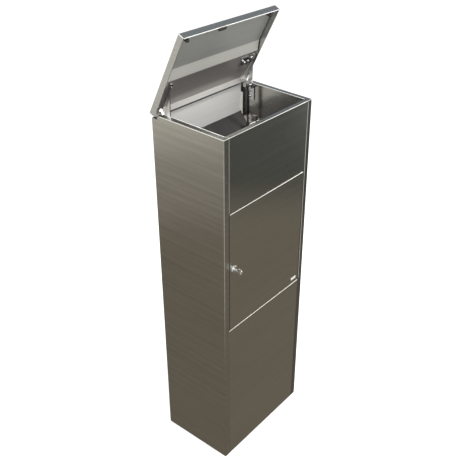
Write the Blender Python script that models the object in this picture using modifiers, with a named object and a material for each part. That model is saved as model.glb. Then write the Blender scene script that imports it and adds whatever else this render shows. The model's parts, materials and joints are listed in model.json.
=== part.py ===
"""Book drop box: a stainless column with a top lid on a gas strut and a locked collection door.

Metres, +Z up. The origin is the middle of the base on the floor and the front faces -Y. The lid is
modelled shut, in its own frame on the hinge axis, and an empty then swings it open.
"""

import math

import bmesh
import bpy
from mathutils import Matrix, Vector

# Cabinet
WIDTH = 0.400
DEPTH = 0.266
HEIGHT = 1.200
SHEET = 0.0015
RETURN = 0.020
PANEL_FOLD = 0.014
BACK_FOLD = 0.010
BACK_DROP = 0.012
BACK_INSET = 0.017
PLATE = 0.003
GAP = 0.0003
JOINT = 0.0005

# Front panels and door
TOP_PANEL_HEIGHT = 0.235
DOOR_HEIGHT = 0.417
DOOR_SEAM = 0.002
DOOR_LATCH_SEAM = 0.004
DOOR_PIVOT_IN = 0.008
DOOR_PIVOT_BACK = 0.005
PIVOT_PIN_R = 0.003
PIN_CLEARANCE = 0.0003
RAIL_HEIGHT = 0.030
RAIL_DEPTH = 0.012
RAIL_SETBACK = 0.0195
POST_DEPTH = 0.0145
BUMPER_WIDTH = 0.020
BUMPER_HEIGHT = 0.008
STIFFENER_HALF = 0.020
STIFFENER_DEPTH = 0.010
NAMEPLATE = (0.026, 0.001, 0.008)

# Lid
LID_OPEN = math.radians(63.5)
LID_FLANGE = 0.020
LID_OVERHANG = 0.0125
LID_SEAT = 0.0008
LID_AXIS_IN = 0.0125
LID_AXIS_UP = 0.0042
LINER_EDGE = 0.119
LINER_FOLD = 0.012
LINER_SHEET = 0.001
ARM_SHEET = 0.003
ARM_REACH = 0.103
ARM_BRACE = 0.079
ARM_HALF = 0.0045
HINGE_PIN_R = 0.003
HINGE_REACH = 0.034
HINGE_SHELF_DROP = 0.006
HINGE_BASE_DROP = 0.045
BUFFER_R = 0.0062
BUFFER_IN = 0.028
PAD_X = -0.063
PAD_WIDTH = 0.028
PAD_DROP = 0.004

# Gas strut: its crank eye in the lid's frame, its foot measured in from the back and rim
CRANK_FORWARD = 0.0031
CRANK_DOWN = 0.0336
CRANK_EDGE = 0.006
STRUT_FOOT_IN = 0.047
STRUT_FOOT_DROP = 0.140
STRUT_TUBE_R = 0.0058
STRUT_ROD_R = 0.003
STRUT_TUBE_LENGTH = 0.085
STRUT_ROD_INSIDE = 0.047
STRUT_END = 0.012
STUD_R = 0.003

# Lock
LOCK_IN = 0.024
LOCK_RAISE = 0.0115
LOCK_R = 0.0095
LOCK_FACE_R = 0.0125
LOCK_CORE_R = 0.0059
LOCK_DEPTH = 0.0165
CAM_LENGTH = 0.036
CAM_WIDTH = 0.014
CAM_SHEET = 0.0025
KEY_HALF = 0.0010

# Inside
CHUTE_DROP = 0.105
CHUTE_ANGLE = math.radians(52)
CHUTE_MOUTH = 0.115
CHUTE_LIP = 0.018
ANCHOR_IN_X = 0.070
ANCHOR_IN_Y = 0.053
ANCHOR_R = 0.0065

HALF = WIDTH / 2
FRONT = -DEPTH / 2
BACK = DEPTH / 2
PANEL_HALF = HALF - RETURN - JOINT
DOOR_HALF = HALF - RETURN - DOOR_SEAM
BACK_TOP = HEIGHT - BACK_DROP
DOOR_TOP = HEIGHT - TOP_PANEL_HEIGHT
DOOR_BOTTOM = DOOR_TOP - DOOR_HEIGHT
LID_AXIS = Vector((0, BACK - LID_AXIS_IN, HEIGHT + LID_AXIS_UP))
LID_TOP = LID_SEAT - LID_AXIS_UP + LID_FLANGE
LID_UNDER = LID_TOP - SHEET
ARM_X = HALF - RETURN - GAP
STRUT_X = ARM_X - ARM_SHEET - 0.0105
DOOR_AXIS = Vector((DOOR_HALF - DOOR_PIVOT_IN, FRONT + DOOR_PIVOT_BACK, 0))
LOCK_CENTRE = Vector(
    (LOCK_IN + RETURN - HALF, FRONT, (DOOR_TOP + DOOR_BOTTOM) / 2 + LOCK_RAISE))

MATERIALS = {
    "brushed_steel": ((0.46, 0.44, 0.40, 1), 0.34, 1.0),
    "inner_steel": ((0.40, 0.40, 0.38, 1), 0.38, 1.0),
    "lid_steel": ((0.58, 0.58, 0.56, 1), 0.32, 1.0),
    "chrome": ((0.78, 0.78, 0.76, 1), 0.12, 1.0),
    "black_paint": ((0.02, 0.02, 0.02, 1), 0.30, 0.0),
    "rubber": ((0.03, 0.03, 0.03, 1), 0.80, 0.0),
}


def clear_scene():
    for obj in list(bpy.data.objects):
        bpy.data.objects.remove(obj)


def new_collection(name):
    made = bpy.data.collections.new(name)
    bpy.context.scene.collection.children.link(made)
    return made


def material(name):
    if name in bpy.data.materials:
        return bpy.data.materials[name]
    colour, roughness, metallic = MATERIALS[name]
    made = bpy.data.materials.new(name)
    made.use_nodes = True
    shader = made.node_tree.nodes["Principled BSDF"]
    shader.inputs["Base Color"].default_value = colour
    shader.inputs["Roughness"].default_value = roughness
    shader.inputs["Metallic"].default_value = metallic
    return made


def finish(name, bm, finish_name, parent=None):
    """Turns a bmesh into a named part with one material."""
    bmesh.ops.recalc_face_normals(bm, faces=bm.faces)
    mesh = bpy.data.meshes.new(name)
    bm.to_mesh(mesh)
    bm.free()
    obj = bpy.data.objects.new(name, mesh)
    PARTS.objects.link(obj)
    mesh.materials.append(material(finish_name))
    obj.parent = parent
    return obj


def block_mesh(low, high):
    low, high = Vector(low), Vector(high)
    bm = bmesh.new()
    bmesh.ops.create_cube(bm, size=1)
    bmesh.ops.scale(bm, vec=high - low, verts=bm.verts)
    bmesh.ops.translate(bm, vec=(low + high) / 2, verts=bm.verts)
    return bm


def bevel(obj, width, segments=2):
    added = obj.modifiers.new("edges", "BEVEL")
    added.width = width
    added.segments = segments
    added.limit_method = "ANGLE"


def block(name, low, high, finish_name, parent=None, round_edges=0.0):
    obj = finish(name, block_mesh(low, high), finish_name, parent)
    if round_edges:
        bevel(obj, round_edges)
    return obj


def shell(name, low, high, open_sides, thickness, finish_name, parent=None):
    """A folded sheet box with the named sides left open, thickened inwards."""
    bm = block_mesh(low, high)
    axes = {"x": 0, "y": 1, "z": 2}
    for side in open_sides:
        sign = 1 if side[0] == "+" else -1
        direction = Vector((0, 0, 0))
        direction[axes[side[1]]] = sign
        faces = [f for f in bm.faces if f.normal.dot(direction) > 0.9]
        bmesh.ops.delete(bm, geom=faces, context="FACES")
    return sheet(name, bm, thickness, -1, finish_name, parent)


def sheet(name, bm, thickness, offset, finish_name, parent):
    """Turns an open bmesh into a sheet part of one thickness."""
    mesh = bpy.data.meshes.new(name)
    bm.to_mesh(mesh)
    bm.free()
    obj = bpy.data.objects.new(name, mesh)
    PARTS.objects.link(obj)
    mesh.materials.append(material(finish_name))
    obj.parent = parent
    added = obj.modifiers.new("sheet", "SOLIDIFY")
    added.thickness = thickness
    added.offset = offset
    added.use_even_offset = True
    return obj


def folded(name, path, start, end, thickness, finish_name, parent=None, offset=-1):
    """A sheet bent along a (y, z) path and extruded along X, thickened to one side."""
    bm = bmesh.new()
    near = [bm.verts.new((start, y, z)) for y, z in path]
    far = [bm.verts.new((end, y, z)) for y, z in path]
    for i in range(len(path) - 1):
        bm.faces.new((near[i], near[i + 1], far[i + 1], far[i]))
    return sheet(name, bm, thickness, offset, finish_name, parent)


def rod_mesh(start, end, radius, sides=24, end_radius=None):
    start, end = Vector(start), Vector(end)
    bm = bmesh.new()
    top = radius if end_radius is None else end_radius
    length = (end - start).length
    bmesh.ops.create_cone(
        bm, cap_ends=True, segments=sides, radius1=radius, radius2=top, depth=length
    )
    turn = (end - start).to_track_quat("Z", "Y").to_matrix().to_4x4()
    bmesh.ops.transform(bm, matrix=Matrix.Translation((start + end) / 2) @ turn, verts=bm.verts)
    return bm


def rod(name, start, end, radius, finish_name, parent=None, sides=24, end_radius=None):
    obj = finish(name, rod_mesh(start, end, radius, sides, end_radius), finish_name, parent)
    obj.data.shade_smooth()
    obj.data.set_sharp_from_angle(angle=math.radians(40))
    return obj


def plate_mesh(outline, x_start, x_end):
    """A flat plate of a (y, z) outline, extruded along X."""
    bm = bmesh.new()
    face = bm.faces.new([bm.verts.new((x_start, y, z)) for y, z in outline])
    made = bmesh.ops.extrude_face_region(bm, geom=[face])
    moved = [v for v in made["geom"] if isinstance(v, bmesh.types.BMVert)]
    bmesh.ops.translate(bm, vec=(x_end - x_start, 0, 0), verts=moved)
    return bm


def plate(name, outline, x_start, x_end, finish_name, parent=None):
    return finish(name, plate_mesh(outline, x_start, x_end), finish_name, parent)


def boolean(obj, tool_mesh, operation, label):
    """Cuts or joins a hidden helper, which stays in the cutters collection."""
    mesh = bpy.data.meshes.new(label)
    bmesh.ops.recalc_face_normals(tool_mesh, faces=tool_mesh.faces)
    tool_mesh.to_mesh(mesh)
    tool_mesh.free()
    tool = bpy.data.objects.new(label, mesh)
    CUTTERS.objects.link(tool)
    tool.parent = obj.parent
    tool.hide_render = True
    tool.display_type = "WIRE"
    added = obj.modifiers.new(label, "BOOLEAN")
    added.operation = operation
    added.object = tool
    added.solver = "EXACT"


def screw(name, seat, out, radius, grip, finish_name, parent=None):
    """A round-headed screw: the head stands on its seat and the shank goes into the sheet."""
    seat, out = Vector(seat), Vector(out).normalized()
    obj = rod(name, seat + out * GAP, seat + out * (GAP + radius * 0.8), radius, finish_name,
              parent, 20, radius * 0.6)
    if grip:
        boolean(obj, rod_mesh(seat - out * grip, seat + out * radius * 0.5, radius * 0.5, 16),
                "UNION", name + "_shank")
    return obj


def pivot(name, location, angle=0.0, parent=None):
    empty = bpy.data.objects.new(name, None)
    PARTS.objects.link(empty)
    empty.location = location
    empty.rotation_euler = (angle, 0, 0)
    empty.empty_display_size = 0.03
    empty.parent = parent
    return empty


def side_panel(side):
    """A side wall with its front and back returns, rim and foot folded inwards."""
    name = "side_panel_left" if side < 0 else "side_panel_right"
    outer, inner = side * HALF, side * (HALF - RETURN)
    low = (min(outer, inner), FRONT, 0)
    high = (max(outer, inner), BACK, HEIGHT)
    panel = shell(name, low, high, ["+x" if side < 0 else "-x"], SHEET, "brushed_steel")
    reach = HALF + 0.01
    notch = block_mesh((min(side * reach, side * (ARM_X - 0.01)), BACK - LID_AXIS_IN - 0.018,
                        BACK_TOP),
                       (max(side * reach, side * (ARM_X - 0.01)), BACK + 0.01, HEIGHT + 0.01))
    boolean(panel, notch, "DIFFERENCE", name + "_notch")


def cabinet_panels():
    side_panel(-1)
    side_panel(1)
    wide = HALF - BACK_INSET
    face = BACK - SHEET - GAP
    back = shell("back_panel", (-wide, face - BACK_FOLD, PLATE + GAP), (wide, face, BACK_TOP),
                 ["-y"], SHEET, "inner_steel")
    for side, label in ((-1, "arm_relief_left"), (1, "arm_relief_right")):
        edges = sorted((side * (ARM_X - ARM_SHEET - 0.0015), side * HALF))
        relief = block_mesh((edges[0], face - BACK_FOLD - 0.01, LID_AXIS.z - CRANK_DOWN - 0.012),
                            (edges[1], face - SHEET, HEIGHT))
        boolean(back, relief, "DIFFERENCE", label)
    shell("top_front_panel", (-PANEL_HALF, FRONT, DOOR_TOP + DOOR_SEAM / 2),
          (PANEL_HALF, FRONT + PANEL_FOLD, HEIGHT), ["+y"], SHEET, "brushed_steel")
    shell("bottom_front_panel", (-PANEL_HALF, FRONT, 0),
          (PANEL_HALF, FRONT + PANEL_FOLD, DOOR_BOTTOM - DOOR_SEAM / 2), ["+y"], SHEET,
          "brushed_steel")


def base_plate():
    base = block("base_plate", (-PANEL_HALF, FRONT + PANEL_FOLD + GAP, 0),
                 (PANEL_HALF, BACK - SHEET - GAP, PLATE), "inner_steel")
    for i, (x, y) in enumerate(((-1, -1), (1, -1), (-1, 1), (1, 1))):
        at_x, at_y = x * (HALF - ANCHOR_IN_X), y * (BACK - ANCHOR_IN_Y)
        hole = rod_mesh((at_x, at_y, -PLATE), (at_x, at_y, 2 * PLATE), ANCHOR_R)
        boolean(base, hole, "DIFFERENCE", f"anchor_hole_{i}")


def posts_and_rails():
    for side, name in ((-1, "corner_post_left"), (1, "corner_post_right")):
        edges = sorted((side * (HALF - SHEET - GAP), side * (HALF - RETURN)))
        shell(name, (edges[0], FRONT + SHEET + GAP, PLATE + GAP),
              (edges[1], FRONT + SHEET + GAP + POST_DEPTH, HEIGHT - SHEET - GAP),
              ["+z", "-z"], SHEET, "inner_steel")
    for name, middle in (("cross_rail_top", DOOR_TOP), ("cross_rail_bottom", DOOR_BOTTOM)):
        shell(name, (-PANEL_HALF, FRONT + RAIL_SETBACK, middle - RAIL_HEIGHT / 2),
              (PANEL_HALF, FRONT + RAIL_SETBACK + RAIL_DEPTH, middle + RAIL_HEIGHT / 2),
              ["+y"], SHEET, "inner_steel")


def inside_panels():
    front_edge = FRONT + RAIL_SETBACK + RAIL_DEPTH + GAP
    wall = BACK - SHEET - GAP - BACK_FOLD - GAP
    floor_top = DOOR_BOTTOM + RAIL_HEIGHT / 2
    shell("collection_floor", (-(HALF - SHEET - GAP), front_edge, floor_top - RAIL_HEIGHT),
          (HALF - SHEET - GAP, wall, floor_top), ["-z"], SHEET, "inner_steel")
    back_y = BACK - 3 * SHEET - 2 * GAP
    mouth_y = FRONT + SHEET + CHUTE_MOUTH
    run = back_y - mouth_y
    top_z = HEIGHT - CHUTE_DROP
    mouth_z = top_z - run * math.tan(CHUTE_ANGLE)
    wide = HALF - BACK_INSET - SHEET - GAP
    folded("chute_plate", [(back_y, top_z), (mouth_y, mouth_z), (mouth_y, mouth_z - CHUTE_LIP)],
           -wide, wide, SHEET, "inner_steel")
    for side, name in ((-1, "chute_bracket_left"), (1, "chute_bracket_right")):
        chute_bracket(side, name, mouth_y, mouth_z)


def chute_bracket(side, name, mouth_y, mouth_z):
    """An angle on the side wall that carries the chute plate's edge."""
    start_y, end_y = mouth_y + 0.012, BACK - SHEET - BACK_FOLD - 0.004
    slope = math.tan(CHUTE_ANGLE)
    below = (SHEET + GAP) / math.cos(CHUTE_ANGLE)

    def on_slope(y):
        return (y, mouth_z + (y - mouth_y) * slope - below)

    outline = [on_slope(start_y), on_slope(end_y)]
    outline += [(y, z - 0.016 / math.cos(CHUTE_ANGLE)) for y, z in reversed(outline)]
    wall_x, wide = side * (HALF - SHEET - GAP), side * (HALF - 0.030)
    obj = plate(name, outline, wall_x, wall_x - side * SHEET, "inner_steel")
    top = SHEET / math.cos(CHUTE_ANGLE)
    ledge = [on_slope(start_y), on_slope(end_y)]
    ledge += [(y, z - top) for y, z in reversed(ledge)]
    boolean(obj, plate_mesh(ledge, wall_x, wide), "UNION", name + "_ledge")


def door(parent):
    low_z, high_z = DOOR_BOTTOM + DOOR_SEAM / 2, DOOR_TOP - DOOR_SEAM / 2
    at = parent.location
    latch_edge = DOOR_LATCH_SEAM + RETURN - HALF
    panel = shell("door_panel", Vector((latch_edge, FRONT, low_z)) - at,
                  Vector((DOOR_HALF, FRONT + PANEL_FOLD, high_z)) - at, ["+y"], SHEET,
                  "brushed_steel", parent)
    pin_hole = PIVOT_PIN_R + PIN_CLEARANCE
    boolean(panel, rod_mesh((0, 0, low_z - 0.01), (0, 0, low_z + 0.01), pin_hole), "DIFFERENCE",
            "door_lower_pin_hole")
    boolean(panel, rod_mesh((0, 0, high_z - 0.01), (0, 0, high_z + 0.01), pin_hole),
            "DIFFERENCE", "door_upper_pin_hole")
    lock = LOCK_CENTRE - at
    boolean(panel, rod_mesh(lock - Vector((0, 0.01, 0)), lock + Vector((0, 0.01, 0)),
                            LOCK_R + GAP), "DIFFERENCE", "lock_hole")
    inner_y = FRONT + SHEET + GAP
    end_gap = 0.020
    shell("door_stiffener", Vector((-STIFFENER_HALF, inner_y, low_z + end_gap)) - at,
          Vector((STIFFENER_HALF, inner_y + STIFFENER_DEPTH, high_z - end_gap)) - at,
          ["-y", "+z", "-z"], SHEET, "inner_steel", parent)
    plate_low = Vector((DOOR_HALF - 0.040, FRONT - GAP - NAMEPLATE[1], low_z + 0.015)) - at
    block("blank_nameplate", plate_low, plate_low + Vector(NAMEPLATE), "chrome", parent, 0.0003)
    bumper_in, bumper_top = 0.038, high_z - 0.002
    for side, name in ((-1, "door_bumper_left"), (1, "door_bumper_right")):
        middle = side * (DOOR_HALF - bumper_in)
        block(name, Vector((middle - BUMPER_WIDTH / 2, FRONT + PANEL_FOLD + GAP,
                            bumper_top - BUMPER_HEIGHT)) - at,
              Vector((middle + BUMPER_WIDTH / 2, FRONT + RAIL_SETBACK - GAP, bumper_top)) - at,
              "rubber", parent)


def door_pivots():
    """Pins in the fixed panels' folded edges, and the washer that carries the door."""
    x, y = DOOR_AXIS.x, DOOR_AXIS.y
    hole = PIVOT_PIN_R + PIN_CLEARANCE
    reach = 0.008
    upper, lower = DOOR_TOP + DOOR_SEAM / 2, DOOR_BOTTOM - DOOR_SEAM / 2
    boolean(bpy.data.objects["top_front_panel"],
            rod_mesh((x, y, upper - reach), (x, y, upper + reach), hole), "DIFFERENCE",
            "upper_pin_hole")
    boolean(bpy.data.objects["bottom_front_panel"],
            rod_mesh((x, y, lower - reach), (x, y, lower + reach), hole), "DIFFERENCE",
            "lower_pin_hole")
    rod("door_pin_upper", (x, y, upper - DOOR_SEAM - reach), (x, y, upper + reach), PIVOT_PIN_R,
        "chrome")
    rod("door_pin_lower", (x, y, lower - reach), (x, y, lower + DOOR_SEAM + reach), PIVOT_PIN_R,
        "chrome")
    washer = rod("door_washer", (x, y, lower + GAP), (x, y, lower + DOOR_SEAM - GAP),
                 DOOR_PIVOT_BACK - GAP / 2, "chrome")
    boolean(washer, rod_mesh((x, y, lower - reach), (x, y, lower + reach), hole), "DIFFERENCE",
            "washer_hole")


def lock(parent):
    """Cam lock: a housing clamped in the door, and a core that turns the cam."""
    at = parent.location
    centre = LOCK_CENTRE - at
    ahead, across = Vector((0, 1, 0)), Vector((1, 0, 0))
    through = ahead * 0.03
    face, barrel = ahead * 0.0035, ahead * (LOCK_DEPTH - 0.0005)
    housing = rod("lock_housing", centre - ahead * GAP, centre - face, LOCK_FACE_R,
                  "chrome", parent, 32, LOCK_FACE_R * 0.9)
    boolean(housing, rod_mesh(centre - face / 2, centre + barrel, LOCK_R), "UNION",
            "lock_barrel")
    boolean(housing, rod_mesh(centre - through, centre + through, LOCK_CORE_R + GAP),
            "DIFFERENCE", "lock_bore")
    nut = rod("lock_nut", centre + ahead * (SHEET + GAP), centre + ahead * (SHEET + 0.0045),
              LOCK_FACE_R + 0.001, "chrome", parent, 6)
    boolean(nut, rod_mesh(centre - through, centre + through, LOCK_R + GAP),
            "DIFFERENCE", "nut_bore")
    core = rod("lock_core", centre - ahead * 0.0042, centre + ahead * LOCK_DEPTH, LOCK_CORE_R,
               "chrome", parent)
    slot = block_mesh(centre + Vector((-KEY_HALF - GAP, -0.0060, -0.0046)),
                      centre + Vector((KEY_HALF + GAP, 0.0090, 0.0046)))
    boolean(core, slot, "DIFFERENCE", "keyway")
    seat = centre + ahead * (LOCK_DEPTH + GAP)
    cam = block("lock_cam", seat - Vector((CAM_WIDTH / 2, 0, CAM_LENGTH)),
                seat + Vector((CAM_WIDTH / 2, CAM_SHEET, CAM_WIDTH / 2)), "chrome", parent)
    boolean(cam, rod_mesh(centre, centre + through, 0.0023), "DIFFERENCE", "cam_hole")
    behind = seat + ahead * CAM_SHEET
    rod("cam_screw", behind + ahead * GAP, behind + ahead * 0.0035, 0.0045, "chrome", parent, 20)
    bow_at, bow_r = centre - ahead * 0.0200, 0.0100
    key = block("key", centre + Vector((-KEY_HALF, -0.0120, -0.0038)),
                centre + Vector((KEY_HALF, 0.0085, 0.0038)), "chrome", parent)
    boolean(key, rod_mesh(bow_at - across * KEY_HALF, bow_at + across * KEY_HALF, bow_r, 32),
            "UNION", "key_bow")
    eye = bow_at - ahead * 0.0045
    boolean(key, rod_mesh(eye - across * bow_r, eye + across * bow_r, 0.0028), "DIFFERENCE",
            "key_eye")


def lid(parent):
    """The lid in its own frame: X along the hinge, -Y towards the front, Z up when shut."""
    behind = LID_AXIS_IN
    ahead = -(DEPTH - LID_AXIS_IN + LID_OVERHANG)
    seat = LID_TOP - LID_FLANGE
    shell("lid_skin", (-HALF, ahead, seat), (HALF, behind, LID_TOP), ["-z"], SHEET, "lid_steel",
          parent)
    edge = behind - LINER_EDGE
    face = LID_UNDER - GAP
    inset, ramp = SHEET + 0.004, 0.036
    path = [(ahead + inset, face), (edge - ramp, face), (edge, face - LINER_FOLD),
            (edge, face - LINER_SHEET)]
    folded("lid_liner", path, inset - HALF, HALF - inset, LINER_SHEET, "lid_steel", parent, 1)
    under = face - LINER_SHEET - GAP
    rim = -LID_AXIS.y + FRONT
    for side, name in ((-1, "lid_buffer_left"), (1, "lid_buffer_right")):
        x, y = side * (HALF - BUFFER_IN), rim + PANEL_FOLD / 2
        rod(name, (x, y, under), (x, y, seat + GAP), BUFFER_R, "rubber", parent, 20,
            BUFFER_R * 0.8)
    block("lid_front_pad", (PAD_X, ahead + SHEET + GAP, seat - PAD_DROP),
          (PAD_X + PAD_WIDTH, rim - 0.0012, under), "rubber", parent, 0.001)


def lid_arm(side, lid_frame):
    """A chrome arm under the lid: a strap, a brace and the crank down to the strut."""
    tag = "left" if side < 0 else "right"
    outer, inner = side * ARM_X, side * (ARM_X - ARM_SHEET)
    boss = 0.009
    eye_y, eye_z = -CRANK_FORWARD, -CRANK_DOWN
    outline = [(boss / 2, 0.0075), (-ARM_REACH, ARM_HALF + 0.001), (-ARM_REACH, -ARM_HALF),
               (-ARM_BRACE - CRANK_EDGE, -ARM_HALF), (eye_y - CRANK_EDGE, eye_z - CRANK_EDGE),
               (eye_y + CRANK_EDGE, eye_z - CRANK_EDGE), (boss, -boss / 2), (boss, boss / 2)]
    arm = plate("lid_arm_" + tag, outline, outer, inner, "chrome", lid_frame)
    window = [(-0.012, -ARM_HALF), (0.004 - ARM_BRACE, -ARM_HALF),
              (eye_y - 0.004, eye_z + 2 * CRANK_EDGE)]
    reach = side * 0.01
    boolean(arm, plate_mesh(window, outer + reach, inner - reach), "DIFFERENCE",
            f"arm_window_{tag}")
    top = LID_UNDER - GAP
    foot_front, foot_back = -0.080, -0.050
    foot_x = sorted((outer, side * (ARM_X - 0.032)))
    boolean(arm, block_mesh((foot_x[0], foot_front, top - ARM_SHEET),
                            (foot_x[1], foot_back, top)), "UNION", f"arm_foot_{tag}")
    web_x = sorted((outer, inner))
    boolean(arm, block_mesh((web_x[0], foot_front, 0), (web_x[1], foot_back, top - GAP)),
            "UNION", f"arm_web_{tag}")
    across = Vector((1, 0, 0))
    boolean(arm, rod_mesh(across * (outer + reach), across * (inner - reach),
                          HINGE_PIN_R + PIN_CLEARANCE), "DIFFERENCE", f"arm_bore_{tag}")
    for i, (x, y) in enumerate(((ARM_X - 0.011, -0.060), (ARM_X - 0.025, -0.070))):
        screw(f"arm_bolt_{tag}_{i + 1}", (side * x, y, top - ARM_SHEET), (0, 0, -1), 0.0042, 0,
              "chrome", lid_frame)
    rivet = Vector((inner, -0.088, 0.0015))
    screw(f"arm_rivet_{tag}", rivet, (-side, 0, 0), 0.0038, 0, "chrome", lid_frame)


def hinge(side):
    """The fixed bracket on the side wall and the pin that the lid's arm turns on."""
    tag = "left" if side < 0 else "right"
    wall, ear_in = HALF - SHEET - GAP, ARM_X + GAP
    ear_out = ear_in + ARM_SHEET
    axis_y, axis_z = LID_AXIS.y, LID_AXIS.z
    shelf_top = BACK_TOP - HINGE_SHELF_DROP
    front, back = axis_y - HINGE_REACH, axis_y - 0.002
    ear = LID_AXIS_IN - SHEET - 0.003
    outline = [(front, shelf_top - ARM_SHEET), (front + 0.010, shelf_top + 0.004),
               (axis_y - ear, axis_z + 0.003), (axis_y - ear / 2, axis_z + ear),
               (axis_y + ear / 2, axis_z + ear), (axis_y + ear, axis_z + 0.003),
               (axis_y + ear, axis_z - 0.003), (axis_y + ear * 0.56, axis_z - ear * 0.94),
               (axis_y - GAP, axis_z - ear * 1.4), (back, shelf_top + 0.006),
               (back, shelf_top - ARM_SHEET)]
    bracket = plate("hinge_bracket_" + tag, outline, side * ear_out, side * ear_in, "chrome")
    shelf_x = sorted((side * wall, side * ear_in))
    boolean(bracket, block_mesh((shelf_x[0], front, shelf_top - ARM_SHEET),
                                (shelf_x[1], back, shelf_top)), "UNION", f"hinge_shelf_{tag}")
    base_x = sorted((side * wall, side * (wall - ARM_SHEET)))
    boolean(bracket, block_mesh((base_x[0], front, shelf_top - HINGE_BASE_DROP),
                                (base_x[1], back, shelf_top - 0.001)), "UNION",
            f"hinge_base_{tag}")
    axis = Vector((0, axis_y, axis_z))
    across = Vector((side, 0, 0))
    boolean(bracket, rod_mesh(axis + across * (ear_in - 0.01), axis + across * (ear_out + 0.01),
                              HINGE_PIN_R + PIN_CLEARANCE), "DIFFERENCE", f"hinge_bore_{tag}")
    pin = rod("hinge_pin_" + tag, axis + across * (ARM_X - ARM_SHEET - 0.004),
              axis + across * (ear_out + 0.002), HINGE_PIN_R, "chrome")
    boolean(pin, rod_mesh(axis + across * (ear_out + GAP), axis + across * (ear_out + 0.0025),
                          0.0055), "UNION", f"hinge_pin_head_{tag}")
    for i, drop in enumerate((0.016, 0.034)):
        seat = (side * (wall - ARM_SHEET), (front + back) / 2, shelf_top - drop)
        screw(f"hinge_screw_{tag}_{i + 1}", seat, (-side, 0, 0), 0.0045, 0, "chrome")


def gas_strut(lid_frame):
    """The strut's foot, rod and tube; its line runs from the foot to the lid's crank."""
    foot = Vector((STRUT_X, BACK - STRUT_FOOT_IN, HEIGHT - STRUT_FOOT_DROP))
    turn = Matrix.Rotation(-LID_OPEN, 3, "X")
    crank = LID_AXIS + turn @ Vector((0, -CRANK_FORWARD, -CRANK_DOWN))
    crank.x = STRUT_X
    along = crank - foot
    angle = -math.atan2(along.y, along.z)
    length = along.length
    frame = pivot("strut_pivot", foot, angle)
    wall = HALF - SHEET - GAP
    bracket = block("strut_bracket", (wall - ARM_SHEET, foot.y - 0.008, foot.z - 0.006),
                    (wall, foot.y + 0.008, foot.z + 0.024), "chrome")
    boolean(bracket, rod_mesh((wall - 0.001, foot.y, foot.z),
                              (STRUT_X + 0.0065, foot.y, foot.z), STUD_R), "UNION",
            "strut_foot_stud")
    end = Vector((0.0055, 0.0060, 0.0065))
    block("strut_end_lower", -end, (end.x, end.y, STRUT_END), "black_paint", frame, 0.002)
    tube_top = length - STRUT_END
    tube_low = tube_top - STRUT_TUBE_LENGTH
    rod("strut_rod", (0, 0, STRUT_END + GAP), (0, 0, tube_low + STRUT_ROD_INSIDE), STRUT_ROD_R,
        "chrome", frame)
    tube = rod("strut_tube", (0, 0, tube_top - GAP), (0, 0, tube_low), STRUT_TUBE_R,
               "black_paint", frame, 28)
    boolean(tube, rod_mesh((0, 0, 0), (0, 0, tube_top - 0.006), STRUT_ROD_R + GAP),
            "DIFFERENCE", "tube_bore")
    block("strut_end_upper", (-end.x, -end.y, tube_top), (end.x, end.y, length + end.z),
          "black_paint", frame, 0.002)
    inner = ARM_X - ARM_SHEET
    rod("crank_stud", (inner - GAP, -CRANK_FORWARD, -CRANK_DOWN),
        (STRUT_X + end.x + GAP, -CRANK_FORWARD, -CRANK_DOWN), 0.0045, "chrome", lid_frame)


clear_scene()
PARTS = new_collection("book_drop_box")
CUTTERS = new_collection("cutters")
CUTTERS.hide_render = True

cabinet_panels()
base_plate()
posts_and_rails()
inside_panels()
DOOR_FRAME = pivot("door_pivot", DOOR_AXIS)
door(DOOR_FRAME)
door_pivots()
lock(DOOR_FRAME)
LID_FRAME = pivot("lid_pivot", LID_AXIS, -LID_OPEN)
lid(LID_FRAME)
for hand in (-1, 1):
    lid_arm(hand, LID_FRAME)
    hinge(hand)
gas_strut(LID_FRAME)
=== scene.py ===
import json
import math

import bmesh
import bpy
from mathutils import Matrix, Vector


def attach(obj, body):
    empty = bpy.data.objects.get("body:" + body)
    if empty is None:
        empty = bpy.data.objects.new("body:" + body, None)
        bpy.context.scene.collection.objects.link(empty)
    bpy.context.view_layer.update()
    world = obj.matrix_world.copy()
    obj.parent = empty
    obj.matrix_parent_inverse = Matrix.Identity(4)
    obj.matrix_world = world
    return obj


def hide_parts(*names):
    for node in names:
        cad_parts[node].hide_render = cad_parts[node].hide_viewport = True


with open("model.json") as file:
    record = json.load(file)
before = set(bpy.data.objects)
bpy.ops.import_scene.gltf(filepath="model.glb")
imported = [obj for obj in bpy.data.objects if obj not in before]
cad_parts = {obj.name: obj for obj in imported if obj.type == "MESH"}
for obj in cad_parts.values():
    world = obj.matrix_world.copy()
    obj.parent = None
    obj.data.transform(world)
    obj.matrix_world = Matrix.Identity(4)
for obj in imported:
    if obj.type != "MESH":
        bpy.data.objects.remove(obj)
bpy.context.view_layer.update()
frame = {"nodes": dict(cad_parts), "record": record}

NODES = frame["nodes"]
BODY_NODES = frame["record"]["behaviour"]["bodies"]

# Camera, fitted to the photographed view
CAMERA_AT = (-1.482, -1.258, 1.992)
CAMERA_AZIMUTH = math.radians(55.7)
CAMERA_FALL = math.radians(31.2)
CAMERA_ROLL = math.radians(3.25)
CAMERA_LENS = 55.74
CAMERA_SHIFT = (-0.147, -0.0195)

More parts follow.
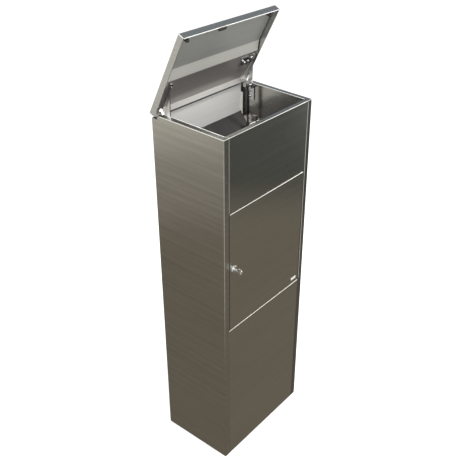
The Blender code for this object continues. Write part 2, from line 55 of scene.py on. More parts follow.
# Sizes of the sheet work, as in the CAD
WIDTH, DEPTH, HEIGHT = 0.400, 0.266, 1.200
HALF, FRONT, BACK = WIDTH / 2, -DEPTH / 2, DEPTH / 2
SHEET = 0.0015
GAP = 0.0003
RETURN = 0.020
PANEL_FOLD = 0.014
BACK_FOLD = 0.010
BACK_INSET = 0.017
SEAM_WIDTH, LATCH_SEAM = 0.002, 0.004
PANEL_HALF = HALF - RETURN - 0.0005
DOOR_LEFT, DOOR_RIGHT = RETURN + LATCH_SEAM - HALF, HALF - RETURN - SEAM_WIDTH
DOOR_LOW, DOOR_HIGH = 0.549, 0.964
LOCK_HOLE_R = 0.0098
BACK_LOW, BACK_TOP = 0.0033, HEIGHT - 0.012
WALL_RELIEF = 0.0305
ARM_RELIEF_DROP, ARM_RELIEF_ROOM = 0.0456, 0.0015
PAST_CUT = 0.01
LID_AXIS = Vector((0, BACK - 0.0125, HEIGHT + 0.0042))
LID_OPEN = math.radians(63.5)
LID_TOP, LID_FLANGE = 0.0166, 0.020
LID_AHEAD, LID_BEHIND = -0.266, 0.0125
LINER_END, LINER_SLOPE, LINER_RAMP_START = LID_BEHIND - 0.119, 0.036, 0.034
LINER_DROP, LINER_ROOM, LINER_SHEET, LINER_BEND_R = 0.012, 0.004, 0.001, 0.0035
ARM_BOLTS = ((0.011, -0.060), (0.025, -0.070))
ARM_RIVET_Y, ARM_RIVET_Z = -0.088, 0.0015
HINGE_SCREW_IN, HINGE_SCREW_DROPS = 0.018, (0.016, 0.034)
BUFFER_IN, BUFFER_R, BUFFER_SEAT = 0.028, 0.0062, 0.0016
ARM_X, ARM_SHEET = 0.1797, 0.003
CRANK = Vector((0, -0.0031, -0.0336))
STRUT_X = 0.1662
STRUT_END, STRUT_TUBE_LENGTH = 0.012, 0.085
STRUT_FOOT = Vector((STRUT_X, 0.086, 1.060))
LOCK_AT = Vector((-0.156, FRONT, 0.768))
BEND_R = 0.0022
BEND_SEGMENTS = 5
SMALL_EDGE_R = 0.0004
SHARP = math.radians(35)
LID_FRAME = Matrix.Translation(LID_AXIS) @ Matrix.Rotation(-LID_OPEN, 4, "X")


# ---------------------------------------------------------------- materials

def nodes_of(name):
    made = bpy.data.materials.new(name)
    made.use_nodes = True
    tree = made.node_tree
    return made, tree, tree.nodes["Principled BSDF"]


def add(tree, kind, **values):
    node = tree.nodes.new(kind)
    for key, value in values.items():
        if key in node.inputs:
            node.inputs[key].default_value = value
        else:
            setattr(node, key, value)
    return node


def noise(tree, scale, detail=3.0, rough=0.5, stretch=(1, 1, 1), seed=0.0):
    """Noise in the object's own metres, stretched per axis. Returns its output socket."""
    at = add(tree, "ShaderNodeTexCoord")
    mapping = add(tree, "ShaderNodeMapping")
    mapping.inputs["Scale"].default_value = stretch
    mapping.inputs["Location"].default_value = (seed, seed * 0.7, seed * 1.3)
    tree.links.new(at.outputs["Object"], mapping.inputs["Vector"])
    texture = add(tree, "ShaderNodeTexNoise", Scale=scale, Detail=detail, Roughness=rough)
    tree.links.new(mapping.outputs["Vector"], texture.inputs["Vector"])
    return texture.outputs["Fac"]


def spread(tree, source, low, high, from_low=0.3, from_high=0.7):
    """Maps a 0 to 1 signal onto a range."""
    node = add(tree, "ShaderNodeMapRange")
    node.inputs["From Min"].default_value = from_low
    node.inputs["From Max"].default_value = from_high
    node.inputs["To Min"].default_value = low
    node.inputs["To Max"].default_value = high
    tree.links.new(source, node.inputs["Value"])
    return node.outputs["Result"]


def math_node(tree, operation, a, b):
    node = add(tree, "ShaderNodeMath", operation=operation)
    for socket, value in zip(node.inputs, (a, b)):
        if isinstance(value, (int, float)):
            socket.default_value = value
        else:
            tree.links.new(value, socket)
    return node.outputs[0]


def mix_colour(tree, factor, a, b):
    node = add(tree, "ShaderNodeMix", data_type="RGBA")
    for index, value in ((0, factor), (6, a), (7, b)):
        if hasattr(value, "is_output"):
            tree.links.new(value, node.inputs[index])
        else:
            node.inputs[index].default_value = value
    return node.outputs[2]


def rgba(colour, gain=1.0):
    return tuple(channel * gain for channel in colour) + (1.0,)


def brushed(name, colour, grain, roughness=0.30, contrast=0.10, metallic=1.0, stain=0.35,
            seed=0.0, brushing=0.45):
    """Brushed sheet: fine and coarse streaks along the grain axis, with soft handling stains."""
    made, tree, shader = nodes_of(name)
    along = [1.0, 1.0, 1.0]
    along["xyz".index(grain)] = 0.012
    fine = noise(tree, 1400, 2.0, 0.6, along, seed)
    along["xyz".index(grain)] = 0.018
    coarse = noise(tree, 70, 3.0, 0.6, along, seed + 3)
    cloud_stretch = [1.0, 1.0, 1.0]
    cloud_stretch["xyz".index(grain)] = 0.35
    cloud = noise(tree, 7, 4.0, 0.55, cloud_stretch, seed + 7)
    streak = math_node(tree, "ADD", math_node(tree, "MULTIPLY", fine, 0.5),
                       math_node(tree, "MULTIPLY", coarse, 0.5))
    body = mix_colour(tree, spread(tree, streak, 0, 1), rgba(colour, 1 - contrast),
                      rgba(colour, 1 + contrast))
    warm = rgba((colour[0] * 0.90, colour[1] * 0.86, colour[2] * 0.78))
    stained = mix_colour(tree, spread(tree, cloud, 0, stain, 0.45, 0.72), body, warm)
    tree.links.new(stained, shader.inputs["Base Color"])
    gloss = math_node(tree, "ADD", spread(tree, streak, roughness - 0.03, roughness + 0.03),
                      spread(tree, cloud, -0.01, 0.03))
    tree.links.new(gloss, shader.inputs["Roughness"])
    shader.inputs["Metallic"].default_value = metallic
    shader.inputs["Anisotropic"].default_value = brushing
    if grain in "xy" and brushing:
        tangent = add(tree, "ShaderNodeTangent", direction_type="RADIAL", axis="Z")
        tree.links.new(tangent.outputs["Tangent"], shader.inputs["Tangent"])
    bump = add(tree, "ShaderNodeBump", Strength=0.06, Distance=0.0001)
    tree.links.new(fine, bump.inputs["Height"])
    tree.links.new(bump.outputs["Normal"], shader.inputs["Normal"])
    return made


def plated(name, colour, roughness):
    """Bright plating with faint handling marks."""
    made, tree, shader = nodes_of(name)
    marks = noise(tree, 260, 4.0, 0.6)
    tint = mix_colour(tree, spread(tree, marks, 0, 1), rgba(colour, 0.92), rgba(colour))
    tree.links.new(tint, shader.inputs["Base Color"])
    tree.links.new(spread(tree, marks, roughness, roughness + 0.12), shader.inputs["Roughness"])
    shader.inputs["Metallic"].default_value = 1.0
    return made


def painted(name, colour, roughness, grain_scale, strength, coat=0.0):
    """Paint or rubber with a fine skin texture, glossier with a clear coat."""
    made, tree, shader = nodes_of(name)
    skin = noise(tree, grain_scale, 4.0, 0.65)
    tint = mix_colour(tree, spread(tree, skin, 0, 1), rgba(colour, 0.75), rgba(colour, 1.3))
    tree.links.new(tint, shader.inputs["Base Color"])
    tree.links.new(spread(tree, skin, roughness - 0.06, roughness + 0.08),
                   shader.inputs["Roughness"])
    shader.inputs["Coat Weight"].default_value = coat
    bump = add(tree, "ShaderNodeBump", Strength=strength, Distance=0.0003)
    tree.links.new(skin, bump.inputs["Height"])
    tree.links.new(bump.outputs["Normal"], shader.inputs["Normal"])
    return made


SIDE = brushed("side_brushed", (0.60, 0.585, 0.545), "y", 0.22, 0.15, seed=1.0, brushing=0.3)
FRONT_STEEL = brushed("front_brushed", (0.66, 0.645, 0.60), "x", 0.20, 0.05, stain=0.25, seed=2.0,
                      brushing=0.3)
# top front panel: a darker copy of the front steel, painted shade for the darker reflection it
# shows
TOP_FRONT_SHADED = brushed("top_front_painted_shade", (0.60, 0.60, 0.575), "x", 0.18, 0.05, stain=0.25,
                    seed=2.5, brushing=0.2)
# inside of the back wall: a pale, nearly non-metal copy of the steel, painted light for the lit
# inner wall
BACK_INSIDE_LIT = brushed("back_inside_painted_light", (0.80, 0.80, 0.785), "x", 0.42, 0.04, metallic=0.15, seed=3.0)
REAR = brushed("rear_brushed", (0.56, 0.55, 0.52), "x", 0.28, 0.08, seed=3.5, brushing=0.3)
LID = brushed("lid_brushed", (0.66, 0.66, 0.65), "x", 0.24, 0.07, seed=4.0, brushing=0.0)
# rim tops: a darker copy of the steel, painted shade for the dark reflection along the rims
RIM_SHADED = brushed("rim_painted_shade", (0.46, 0.46, 0.45), "x", 0.24, 0.12, seed=1.5, brushing=0.0)
# right front return: a darker copy of the steel, painted shade for its dark reflection
RETURN_RIGHT_SHADED = brushed("return_right_painted_shade", (0.36, 0.36, 0.345), "z", 0.22, 0.08, seed=1.7,
                       brushing=0.0)
# inside of the lid's rear flange: a pale, less metallic copy, painted light for its bright strip
LID_STRIP_LIT = brushed("lid_flange_painted_light", (0.60, 0.59, 0.57), "x", 0.42, 0.10, metallic=0.25,
                    seed=4.7, brushing=0.0)
# underside of the lid tray: a darker copy of the lid steel, painted shade
LID_INSIDE_SHADED = brushed("lid_inside_painted_shade", (0.285, 0.27, 0.26), "x", 0.38, 0.10, metallic=0.55, seed=4.5,
                     brushing=0.0)
LINER = brushed("liner_brushed", (0.312, 0.317, 0.30), "x", 0.42, 0.06, metallic=0.45, seed=5.0,
                brushing=0.0)
# sloped rear edge of the liner: a lighter copy of the liner finish, a painted highlight
LINER_RAMP_LIT = brushed("liner_ramp_painted_highlight", (0.50, 0.50, 0.47), "x", 0.42, 0.06, metallic=0.45, seed=5.5,
                     brushing=0.0)
# near-black steel: painted shade for the unlit depth of the cabinet, the left corner post in its
# seam and the back wall's top fold
SHADE_BLACK = brushed("painted_shade_black", (0.044, 0.044, 0.045), "x", 0.40, 0.12, metallic=0.7, seed=6.0,
                brushing=0.0)
# inner steel: a duller sheet, also darkened as painted shade for the inside of the cabinet and its
# gaps
INNER_SHADED = brushed("inner_steel", (0.26, 0.255, 0.245), "x", 0.40, 0.08, seed=7.0, brushing=0.0)
# pale, nearly non-metal strips: painted highlights along turned sheet edges
HEM_HIGHLIGHT = brushed("hem_painted_highlight", (0.90, 0.90, 0.88), "z", 0.30, 0.03, metallic=0.2, seed=8.0)
# near-black: painted shade in the narrow seam at the front sheets' left
SEAM_SHADE = brushed("seam_painted_shade", (0.050, 0.048, 0.045), "z", 0.60, 0.08, metallic=0.0, seed=6.5,
               brushing=0.0)
# grey, less metallic strip finish: a painted highlight along the right return's edge
EDGE_HIGHLIGHT = brushed("edge_painted_highlight", (0.30, 0.30, 0.275), "z", 0.36, 0.05, metallic=0.2, seed=8.5)
LABEL = brushed("label_metal", (0.66, 0.66, 0.65), "x", 0.30, 0.04, metallic=0.25, seed=9.0)
BRIGHT = plated("bright_plating", (0.80, 0.80, 0.79), 0.14)
BLACK = painted("strut_paint", (0.016, 0.016, 0.017), 0.26, 900, 0.10, coat=1.0)
RUBBER = painted("rubber_skin", (0.028, 0.023, 0.020), 0.72, 1500, 0.35)

# the chute plate and left corner post get near-black painted shade
NODE_FINISH = {"corner_post_left": SHADE_BLACK, "chute_plate": SHADE_BLACK, "blank_nameplate": LABEL}
SLOT_FINISH = {
    "side_steel": SIDE, "front_steel": FRONT_STEEL, "inner_steel": INNER_SHADED, "lid_steel": LID,
    "liner_steel": LINER, "bright_metal": BRIGHT, "strut_black": BLACK, "rubber": RUBBER,
}


def dress_nodes():
    """Gives every CAD node its own finish, or else its slot's."""
    slots = {part["node"]: part["material_slot"] for part in frame["record"]["subparts"]}
    for name, obj in NODES.items():
        finish = NODE_FINISH.get(name) or SLOT_FINISH[slots[name]]
        obj.data.materials.clear()
        obj.data.materials.append(finish)


# ---------------------------------------------------------------- shapes

def join_body(obj, node, finish):
    """Puts a piece on its node's body, in its place and with the given finish, and hides the node.
    """
    body = next(name for name, members in BODY_NODES.items() if node in members)
    obj.data.materials.clear()
    obj.data.materials.append(finish)
    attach(obj, body)
    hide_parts(node)


def as_object(name, bm, frame_matrix=None):
    mesh = bpy.data.meshes.new(name)
    if frame_matrix is not None:
        bm.transform(frame_matrix)
    bm.to_mesh(mesh)
    bm.free()
    obj = bpy.data.objects.new(name, mesh)
    bpy.context.scene.collection.objects.link(obj)
    return obj


def settled(obj, sharp=SHARP):
    """Applies the modifiers and shades the result smooth between its sharp edges."""
    bpy.context.view_layer.update()
    seen = obj.evaluated_get(bpy.context.evaluated_depsgraph_get())
    mesh = bpy.data.meshes.new_from_object(seen)
    obj.modifiers.clear()
    obj.data = mesh
    mesh.shade_smooth()
    mesh.set_sharp_from_angle(angle=sharp)
    weighted = obj.modifiers.new("flat_faces_first", "WEIGHTED_NORMAL")
    weighted.keep_sharp = True
    return obj


def box_mesh(low, high):
    low, high = Vector(low), Vector(high)
    bm = bmesh.new()
    bmesh.ops.create_cube(bm, size=1)
    bmesh.ops.scale(bm, vec=high - low, verts=bm.verts)
    bmesh.ops.translate(bm, vec=(low + high) / 2, verts=bm.verts)
    return bm


def solidify(obj, thickness, offset=-1):
    sheet = obj.modifiers.new("sheet", "SOLIDIFY")
    sheet.thickness = thickness
    sheet.offset = offset
    sheet.use_even_offset = True


def round_edges(obj, width, segments, angle):
    edge = obj.modifiers.new("edge", "BEVEL")
    edge.width = width
    edge.segments = segments
    edge.limit_method = "ANGLE"
    edge.angle_limit = math.radians(angle)
    return edge


def cut(obj, tool):
    """Cuts one object's shape out of another, and removes the tool."""
    added = obj.modifiers.new("cut", "BOOLEAN")
    added.operation = "DIFFERENCE"
    added.object = tool
    settled(obj)
    bpy.data.objects.remove(tool)


def folded_box(name, low, high, open_side, frame_matrix=None):
    """A folded sheet tray: bends with a true radius round every kept edge."""
    bm = box_mesh(low, high)
    axis = Vector([float(letter == open_side[1]) for letter in "xyz"])
    axis *= 1 if open_side[0] == "+" else -1
    gone = [face for face in bm.faces if face.normal.dot(axis) > 0.9]
    bmesh.ops.delete(bm, geom=gone, context="FACES")
    bends = [edge for edge in bm.edges if not edge.is_boundary]
    bmesh.ops.bevel(bm, geom=bends, offset=BEND_R, segments=BEND_SEGMENTS, profile=0.5,
                    affect="EDGES", clamp_overlap=True)
    obj = as_object(name, bm, frame_matrix)
    solidify(obj, SHEET)
    return settled(obj)


def lathe(name, profile, start, axis, sides=32, frame_matrix=None):
    """A turned piece: (distance along, radius) points about an axis from a start point."""
    start, axis = Vector(start), Vector(axis).normalized()
    turn = axis.to_track_quat("Z", "Y").to_matrix()
    bm = bmesh.new()
    rings = []
    for along, radius in profile:
        ring = []
        for i in range(sides):
            angle = 2 * math.pi * i / sides
            local = Vector((math.cos(angle) * radius, math.sin(angle) * radius, along))
            ring.append(bm.verts.new(start + turn @ local))
        rings.append(ring)
    for near, far in zip(rings, rings[1:]):
        for i in range(sides):
            bm.faces.new((near[i], near[(i + 1) % sides], far[(i + 1) % sides], far[i]))
    bm.faces.new(rings[0][::-1])
    bm.faces.new(rings[-1])
    bmesh.ops.recalc_face_normals(bm, faces=bm.faces)
    obj = as_object(name, bm, frame_matrix)
    obj.data.shade_smooth()
    obj.data.set_sharp_from_angle(angle=SHARP)
    return obj


def dome(radius, height, lip=0.25):
    """Profile of a low dome on a short rim."""
    steps = 7
    rim = height * lip
    points = [(0, radius), (rim, radius)]
    for i in range(1, steps):
        angle = math.pi / 2 * i / steps
        points.append((rim + (height - rim) * math.sin(angle), radius * math.cos(angle)))
    return points


def button_screw(name, seat, out, radius, node, frame_matrix=None):
    """A button-head screw with a hexagon recess."""
    head = lathe(name, dome(radius, radius * 0.75), seat, out, frame_matrix=frame_matrix)
    start = Vector(seat) + Vector(out).normalized() * radius * 0.30
    recess_r = radius * 0.42
    cut(head, lathe("recess", [(0, recess_r), (radius, recess_r)], start, out, 6, frame_matrix))
    join_body(head, node, BRIGHT)


# ---------------------------------------------------------------- sheet work

def hem(name, low, high, body, frame_matrix=None, finish=HEM_HIGHLIGHT):
    """A rounded strip along a turned sheet edge, by default in a pale finish that paints its
    highlight.
    """
    strip = as_object(name, box_mesh(low, high), frame_matrix)
    thinnest = min(b - a for a, b in zip(low, high))
    round_edges(strip, thinnest * 0.35, 4, 30)
    settled(strip, math.radians(50))
    strip.data.materials.append(finish)
    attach(strip, body)


def shade_left_edge(sheet, turned):
    """Paints shade in near-black on the fold that faces the narrow seam at a front sheet's left.
    """
    sheet.data.materials.append(SEAM_SHADE)
    for polygon in sheet.data.polygons:
        polygon.material_index = int(polygon.normal.x < turned
                                     and polygon.center.x < LATCH_SEAM - PANEL_HALF + BEND_R)


def cabinet_sheets():
    for side, tag in ((-1, "left"), (1, "right")):
        outer, inner = side * HALF, side * (HALF - RETURN)
        wall = folded_box("side_wall_" + tag, (min(outer, inner), FRONT, 0),
                          (max(outer, inner), BACK, HEIGHT), "+x" if side < 0 else "-x")
        edges = sorted((side * (HALF + PAST_CUT), side * (ARM_X - 0.01)))
        cut(wall, as_object("tool", box_mesh((edges[0], BACK - WALL_RELIEF, BACK_TOP),
                                             (edges[1], BACK + PAST_CUT, HEIGHT + PAST_CUT))))
        join_body(wall, "side_panel_" + tag, SIDE)
        wall.data.materials.append(RIM_SHADED)
        wall.data.materials.append(RETURN_RIGHT_SHADED)
        # rim tops get the darker painted-shade rim copy
        for polygon in wall.data.polygons:
            if polygon.normal.z > 0.7 and polygon.center.z > HEIGHT - SHEET:
                polygon.material_index = 1
            # the right return's front face gets the darker painted-shade copy
            elif polygon.normal.y < -0.7 and side > 0 and polygon.center.y < FRONT + SHEET / 2:
                polygon.material_index = 2
        edges = sorted((side * (inner * side + 0.0002), side * (inner * side + 0.0022)))
        hem("rim_hem_" + tag, (edges[0], FRONT + PANEL_FOLD, HEIGHT - SHEET * 0.8),
            (edges[1], BACK - 0.032, HEIGHT + 0.0003), "cabinet")
    # a strip along the right return's edge, whose finish paints its highlight
    hem("return_hem_right", (HALF - RETURN + 0.0004, FRONT - 0.0003, DOOR_LOW),
        (HALF - RETURN + 0.0034, FRONT + 0.0010, HEIGHT - 0.004), "cabinet",
        finish=EDGE_HIGHLIGHT)
    top = folded_box("front_top", (-PANEL_HALF, FRONT, DOOR_HIGH + SEAM_WIDTH),
                     (PANEL_HALF, FRONT + PANEL_FOLD, HEIGHT), "+y")
    # the top front panel gets the darker painted-shade copy of the front steel
    join_body(top, "top_front_panel", TOP_FRONT_SHADED)
    # the top panel's rim face gets the darker painted-shade rim copy
    top.data.materials.append(RIM_SHADED)
    for polygon in top.data.polygons:
        polygon.material_index = int(polygon.normal.z > 0.7 and polygon.center.z > HEIGHT - SHEET)
    foot = folded_box("front_bottom", (-PANEL_HALF, FRONT, 0),
                      (PANEL_HALF, FRONT + PANEL_FOLD, DOOR_LOW - SEAM_WIDTH), "+y")
    join_body(foot, "bottom_front_panel", FRONT_STEEL)
    shade_left_edge(foot, -0.5)
    door = folded_box("door_face", (DOOR_LEFT, FRONT, DOOR_LOW),
                      (DOOR_RIGHT, FRONT + PANEL_FOLD, DOOR_HIGH), "+y")
    hole = bmesh.new()
    bmesh.ops.create_cone(hole, cap_ends=True, segments=32, radius1=LOCK_HOLE_R,
                          radius2=LOCK_HOLE_R, depth=2 * PAST_CUT)
    bmesh.ops.rotate(hole, matrix=Matrix.Rotation(math.pi / 2, 3, "X"), verts=hole.verts)
    bmesh.ops.translate(hole, vec=LOCK_AT, verts=hole.verts)
    cut(door, as_object("tool", hole))
    join_body(door, "door_panel", FRONT_STEEL)
    shade_left_edge(door, -0.2)
    face = BACK - SHEET - GAP
    wide = HALF - BACK_INSET
    back = folded_box("back_wall", (-wide, face - BACK_FOLD, BACK_LOW), (wide, face, BACK_TOP),
                      "-y")
    for side in (-1, 1):
        edges = sorted((side * (ARM_X - ARM_SHEET - ARM_RELIEF_ROOM), side * HALF))
        notch = box_mesh((edges[0], face - BACK_FOLD - PAST_CUT, LID_AXIS.z - ARM_RELIEF_DROP),
                         (edges[1], face - SHEET, HEIGHT))
        cut(back, as_object("tool", notch))
    # the back wall's inside face gets the pale painted-light copy, its outer face the plain rear
    # steel
    join_body(back, "back_panel", BACK_INSIDE_LIT)
    back.data.materials.append(REAR)
    back.data.materials.append(SHADE_BLACK)
    for polygon in back.data.polygons:
        polygon.material_index = int(polygon.center.y > face - SHEET / 2)
        # the back wall's top fold gets near-black painted shade
        if polygon.normal.z > 0.3 and polygon.center.z > BACK_TOP - 0.004:
            polygon.material_index = 2
    for side, tag in ((-1, "left"), (1, "right")):
        edges = sorted((side * (wide - 0.0030), side * wide))
        hem("back_hem_" + tag, (edges[0], face - BACK_FOLD - 0.0006, 0.0100),
            (edges[1], face - BACK_FOLD + 0.0040, LID_AXIS.z - 0.0460), "cabinet")


def lid_sheets():
    skin = folded_box("lid_tray", (-HALF, LID_AHEAD, LID_TOP - LID_FLANGE),
                      (HALF, LID_BEHIND, LID_TOP), "-z", LID_FRAME)
    join_body(skin, "lid_skin", LID)
    skin.data.materials.append(LID_INSIDE_SHADED)
    skin.data.materials.append(LID_STRIP_LIT)
    down = LID_FRAME.to_3x3() @ Vector((0, 0, -1))
    ahead = LID_FRAME.to_3x3() @ Vector((0, -1, 0))
    for polygon in skin.data.polygons:
        centre = LID_FRAME.inverted() @ polygon.center
        # the tray's underside gets the darker painted-shade copy
        polygon.material_index = int(polygon.normal.dot(down) > 0.5 and centre.z > 0)
        # the rear flange's inside face gets the pale painted-light copy
        if polygon.normal.dot(ahead) > 0.5 and centre.y > LID_BEHIND - 2 * SHEET:
            polygon.material_index = 2
    seat = LID_TOP - LID_FLANGE
    hem("lid_front_hem", (0.003 - HALF, LID_AHEAD + 0.0001, seat - 0.0006),
        (HALF - 0.003, LID_AHEAD + 0.0034, seat + 0.0020), "lid", LID_FRAME)
    face = LID_TOP - SHEET - GAP
    path = [(LID_AHEAD + SHEET + LINER_ROOM, face), (LINER_END - LINER_SLOPE, face),
            (LINER_END, face - LINER_DROP), (LINER_END, face - LINER_SHEET)]
    wide = HALF - SHEET - LINER_ROOM
    bm = bmesh.new()
    near = [bm.verts.new((-wide, y, z)) for y, z in path]
    far = [bm.verts.new((wide, y, z)) for y, z in path]
    for i in range(len(path) - 1):
        bm.faces.new((near[i], near[i + 1], far[i + 1], far[i]))
    bends = [e for e in bm.edges if not e.is_boundary]
    bmesh.ops.bevel(bm, geom=bends, offset=LINER_BEND_R, segments=BEND_SEGMENTS, profile=0.5,
                    affect="EDGES")
    liner = as_object("lid_panel", bm, LID_FRAME)
    solidify(liner, LINER_SHEET, 1)
    settled(liner)
    join_body(liner, "lid_liner", LINER)
    # the sloped rear edge gets the lighter painted-highlight copy
    liner.data.materials.append(LINER_RAMP_LIT)
    for polygon in liner.data.polygons:
        centre = LID_FRAME.inverted() @ polygon.center
        polygon.material_index = int(centre.y > LINER_END - LINER_RAMP_START)


# ---------------------------------------------------------------- fittings

def fittings():
    for side, tag in ((-1, "left"), (1, "right")):
        under = LID_TOP - SHEET - GAP - ARM_SHEET
        for i, (inward, y) in enumerate(ARM_BOLTS):
            seat = (side * (ARM_X - inward), y, under - GAP)
            button_screw(f"lid_bolt_{tag}_{i + 1}", seat, (0, 0, -1), 0.0042,
                         f"arm_bolt_{tag}_{i + 1}", LID_FRAME)
        inner = side * (ARM_X - ARM_SHEET - GAP)
        button_screw(f"brace_rivet_{tag}", (inner, ARM_RIVET_Y, ARM_RIVET_Z), (-side, 0, 0),
                     0.0038, f"arm_rivet_{tag}", LID_FRAME)
        for i, drop in enumerate(HINGE_SCREW_DROPS):
            seat = (side * (HALF - SHEET - GAP - ARM_SHEET - GAP), LID_AXIS.y - HINGE_SCREW_IN,
                    BACK_TOP - 0.006 - drop)
            button_screw(f"bracket_screw_{tag}_{i + 1}", seat, (-side, 0, 0), 0.0045,
                         f"hinge_screw_{tag}_{i + 1}")
        y = FRONT - LID_AXIS.y + PANEL_FOLD / 2
        seat = (side * (HALF - BUFFER_IN), y, LID_TOP - SHEET - GAP - LINER_SHEET - GAP)
        height = LID_FLANGE - SHEET - BUFFER_SEAT - GAP
        buffer = lathe(f"rubber_stop_{tag}", dome(BUFFER_R, height, 0.55), seat, (0, 0, -1), 28,
                       LID_FRAME)
        join_body(buffer, f"lid_buffer_{tag}", RUBBER)


def strut_pieces():
    crank = LID_FRAME @ CRANK
    crank.x = STRUT_X
    along = crank - STRUT_FOOT
    length = along.length
    axis = along.normalized()
    top = length - STRUT_END
    low = top - STRUT_TUBE_LENGTH
    tube = lathe("strut_cylinder", [
        (low, 0.0036), (low + 0.0006, 0.0048), (low + 0.0016, 0.0054), (low + 0.0030, 0.0054),
        (low + 0.0036, 0.0049), (low + 0.0048, 0.0049), (low + 0.0056, 0.0058),
        (top - 0.0030, 0.0058), (top - 0.0016, 0.0054), (top - 0.0008, 0.0044),
        (top - GAP, 0.0036)], STRUT_FOOT, axis, 40)
    join_body(tube, "strut_tube", BLACK)
    for name, node, base, sign in (("strut_socket_lower", "strut_end_lower", 0.0, 1),
                                   ("strut_socket_upper", "strut_end_upper", length, -1)):
        socket = lathe(name, [
            (-0.0064, 0.0022), (-0.0058, 0.0042), (-0.0040, 0.0053), (0.0, 0.0057),
            (0.0030, 0.0055), (0.0055, 0.0046), (0.0065, 0.0041), (0.0112, 0.0041),
            (0.0118, 0.0036)], STRUT_FOOT + axis * base, axis * sign)
        join_body(socket, node, BLACK)


def soften(name):
    """Takes the edge off a CAD node, without touching its own vertices."""
    obj = NODES[name]
    flat = obj.modifiers.new("flat", "DECIMATE")
    flat.decimate_type = "DISSOLVE"
    flat.angle_limit = math.radians(1)
    round_edges(obj, SMALL_EDGE_R, 2, 40).harden_normals = True


# ---------------------------------------------------------------- stage

def make_camera():
    data = bpy.data.cameras.new("camera")
    data.sensor_width = 36
    data.lens = CAMERA_LENS
    data.shift_x, data.shift_y = CAMERA_SHIFT
    data.clip_start, data.clip_end = 0.05, 60
    obj = bpy.data.objects.new("camera", data)
    bpy.context.scene.collection.objects.link(obj)
    level = math.cos(CAMERA_FALL)
    forward = Vector((math.sin(CAMERA_AZIMUTH) * level, math.cos(CAMERA_AZIMUTH) * level,
                      -math.sin(CAMERA_FALL)))
    right = forward.cross(Vector((0, 0, 1))).normalized()
    up = right.cross(forward)
    turned = right * math.cos(CAMERA_ROLL) + up * math.sin(CAMERA_ROLL)
    up = turned.cross(forward)
    obj.matrix_world = Matrix.Translation(CAMERA_AT) @ Matrix(
        (turned, up, -forward)).transposed().to_4x4()
    bpy.context.scene.camera = obj


def area_light(name, at, aim, size, power, colour=(1, 1, 1), mirrored=True):
    data = bpy.data.lights.new(name, "AREA")
    data.shape = "RECTANGLE"
    data.size, data.size_y = size
    data.energy = power
    data.color = colour
    obj = bpy.data.objects.new(name, data)
    bpy.context.scene.collection.objects.link(obj)
    obj.location = at
    obj.rotation_mode = "QUATERNION"
    obj.rotation_quaternion = (Vector(aim) - Vector(at)).to_track_quat("-Z", "Y")
    obj.visible_glossy = mirrored


def toward(tree, source, direction):
    """How far a direction socket points along a fixed direction, from -1 to 1."""
    node = add(tree, "ShaderNodeVectorMath", operation="DOT_PRODUCT")
    tree.links.new(source, node.inputs[0])
    node.inputs[1].default_value = Vector(direction).normalized()
    return node.outputs["Value"]


def make_world():
    """A soft studio: a pale sky with brighter patches and a grey wall, which the metal mirrors."""
    world = bpy.data.worlds.new("studio")
    bpy.context.scene.world = world
    world.use_nodes = True
    tree = world.node_tree
    back = tree.nodes["Background"]
    at = add(tree, "ShaderNodeTexCoord").outputs["Generated"]
    sky = rgba((0.80, 0.81, 0.82))
    front = spread(tree, toward(tree, at, (0.70, -0.62, 0.25)), 0, 1, 0.55, 0.95)
    sky = mix_colour(tree, front, sky, rgba((1.9, 1.87, 1.80)))
    left = spread(tree, toward(tree, at, (-0.52, 0.48, 0.70)), 0, 1, 0.72, 0.95)
    sky = mix_colour(tree, left, sky, rgba((2.4, 2.35, 2.25)))
    wall = spread(tree, toward(tree, at, (0.74, 0.20, 0.62)), 0, 1, 0.76, 0.90)
    sky = mix_colour(tree, wall, sky, rgba((0.22, 0.245, 0.265)))
    path = add(tree, "ShaderNodeLightPath")
    shown = mix_colour(tree, path.outputs["Is Diffuse Ray"], sky, rgba((1.1, 1.1, 1.1)))
    shown = mix_colour(tree, path.outputs["Is Camera Ray"], shown, rgba((1.0, 1.0, 1.0)))
    tree.links.new(shown, back.inputs["Color"])
    back.inputs["Strength"].default_value = 1.0


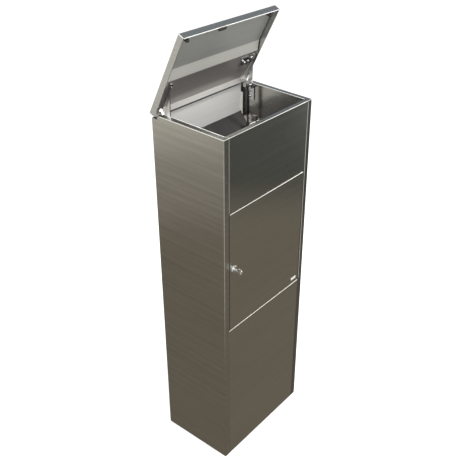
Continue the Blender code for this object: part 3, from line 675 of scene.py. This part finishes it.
def make_floor():
    """A pale floor, which polished metal sees as a yard with lighter and darker ground."""
    bm = bmesh.new()
    bmesh.ops.create_grid(bm, x_segments=1, y_segments=1, size=14)
    mesh = bpy.data.meshes.new("studio_floor")
    bm.to_mesh(mesh)
    bm.free()
    floor = bpy.data.objects.new("studio_floor", mesh)
    bpy.context.scene.collection.objects.link(floor)
    floor.location = (0, 0, -0.0005)
    made, tree, shader = nodes_of("floor_paint")
    shader.inputs["Base Color"].default_value = rgba((0.90, 0.90, 0.90))
    shader.inputs["Roughness"].default_value = 0.9
    output = tree.nodes["Material Output"]
    at = add(tree, "ShaderNodeTexCoord")
    split = add(tree, "ShaderNodeSeparateXYZ")
    tree.links.new(at.outputs["Object"], split.inputs["Vector"])
    x, y = split.outputs["X"], split.outputs["Y"]
    leftward = math_node(tree, "SUBTRACT", y, x)
    rightward = math_node(tree, "ADD", x, y)
    ground = rgba((0.173, 0.154, 0.124))
    for signal, colour, start, end in (
            (leftward, (0.285, 0.262, 0.226), 2.10, 2.65),
            (leftward, (0.66, 0.65, 0.59), 3.40, 4.10),
            (leftward, (0.080, 0.082, 0.074), -2.35, -2.70),
            (rightward, (0.36, 0.365, 0.355), 0.75, 1.35),
            (rightward, (0.50, 0.49, 0.46), -0.95, -1.35)):
        ground = mix_colour(tree, spread(tree, signal, 0, 1, start, end), ground, rgba(colour))
    glow = add(tree, "ShaderNodeEmission")
    tree.links.new(ground, glow.inputs["Color"])
    path = add(tree, "ShaderNodeLightPath")
    choose = add(tree, "ShaderNodeMixShader")
    tree.links.new(path.outputs["Is Glossy Ray"], choose.inputs[0])
    tree.links.new(shader.outputs[0], choose.inputs[1])
    tree.links.new(glow.outputs[0], choose.inputs[2])
    tree.links.new(choose.outputs[0], output.inputs["Surface"])
    mesh.materials.append(made)


def make_stage():
    make_camera()
    make_world()
    make_floor()
    area_light("key", (-2.2, -2.4, 3.6), (0, 0, 0.8), (2.4, 2.4), 90, (1, 0.98, 0.95))
    area_light("top", (0.3, -0.2, 3.4), (0, 0, 0.8), (2.2, 2.2), 60, (0.96, 0.98, 1),
               mirrored=False)
    area_light("fill", (3.0, -1.5, 2.0), (0, 0, 0.8), (1.8, 2.4), 25)
    bpy.context.scene.view_settings.view_transform = "Standard"


make_stage()
dress_nodes()
cabinet_sheets()
lid_sheets()
fittings()
strut_pieces()
for small in ("lock_housing", "lock_nut", "lock_cam", "key", "blank_nameplate", "lid_arm_left",
              "lid_arm_right", "hinge_bracket_left", "hinge_bracket_right"):
    soften(small)
